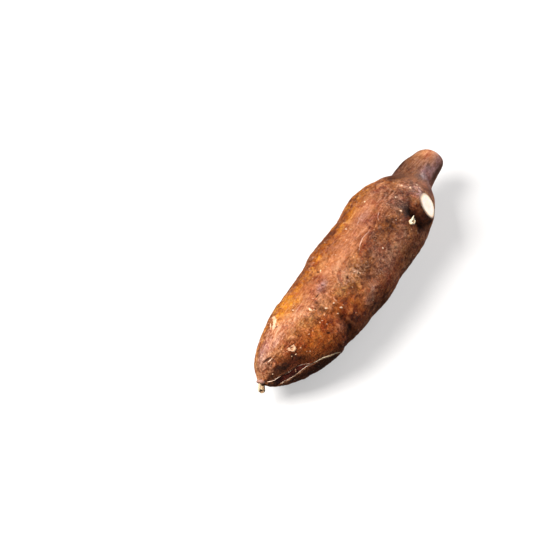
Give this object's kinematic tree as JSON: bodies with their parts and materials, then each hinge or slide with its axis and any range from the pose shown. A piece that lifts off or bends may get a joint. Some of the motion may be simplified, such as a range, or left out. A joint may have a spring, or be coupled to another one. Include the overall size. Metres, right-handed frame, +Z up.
{
  "type": "cassava root",
  "caption": "Whole raw cassava root with brown bark, a cut neck and side stump, and a broken tail, lying on its belly.",
  "frame": {"origin": "centre of the bounding box's base, on the surface that the belly rests on", "axes": "+X along the root from the tail to the cut neck, +Z up from the flattened belly, +Y across"},
  "size_m": [0.2417, 0.0694, 0.0624],
  "materials": {
    "bark": "thin waxed brown bark, satin"
  },
  "bodies": {
    "root": {"cassava_root": "bark"}
  },
  "joints": []
}
